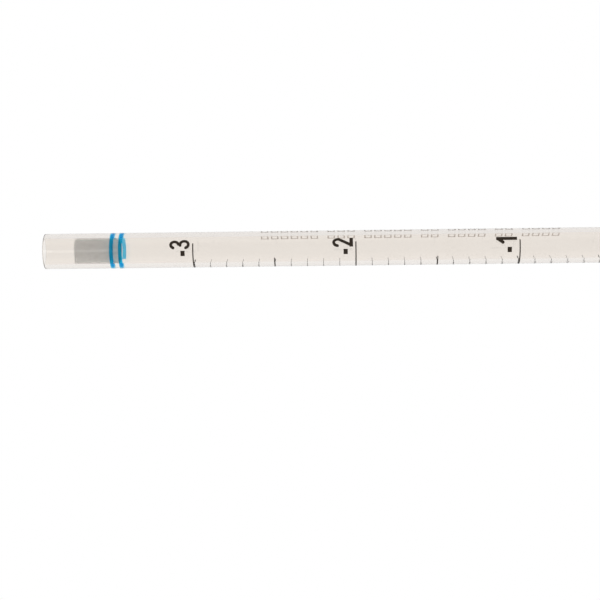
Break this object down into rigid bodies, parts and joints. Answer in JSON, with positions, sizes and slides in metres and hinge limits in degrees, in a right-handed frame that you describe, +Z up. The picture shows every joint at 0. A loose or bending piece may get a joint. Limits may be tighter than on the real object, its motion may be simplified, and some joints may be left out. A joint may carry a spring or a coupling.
{
  "type": "graduated pipette",
  "caption": "Clear plastic graduated pipette with a drawn tip, a fibre filter plug in its mouth, colour bands and a printed scale that runs past zero.",
  "frame": {"origin": "centre of the tip's opening, at the tip's end face", "axes": "+Z up the tube's axis from tip to mouth; -Y is the front, where the numerals face; +X is to their right"},
  "size_m": [0.008, 0.008, 0.3456],
  "materials": {
    "clear_plastic": "clear polystyrene, glossy, faintly warm",
    "filter_fibre": "matted white cotton-like fibre",
    "band_ink": "translucent cyan-blue printing ink",
    "scale_ink": "brown-black printing ink, satin"
  },
  "bodies": {
    "barrel": {"barrel": "clear_plastic", "upper_band": "band_ink", "lower_band": "band_ink", "numeral_minus_3": "scale_ink", "numeral_minus_2": "scale_ink", "numeral_minus_1": "scale_ink", "numeral_0": "scale_ink", "numeral_1": "scale_ink", "numeral_2": "scale_ink", "numeral_3": "scale_ink", "numeral_4": "scale_ink", "marks_minus_3": "scale_ink", "marks_minus_2": "scale_ink", "marks_minus_1": "scale_ink", "marks_0": "scale_ink", "marks_1": "scale_ink", "marks_2": "scale_ink", "marks_3": "scale_ink", "marks_4": "scale_ink", "small_numerals": "scale_ink", "legend": "scale_ink"},
    "filter_plug": {"filter_plug": "filter_fibre"}
  },
  "joints": [
    {"name": "plug_slide", "type": "slide", "parent": "barrel", "child": "filter_plug", "axis": [0, 0, 1], "range_m": [0, 0.0165]}
  ]
}
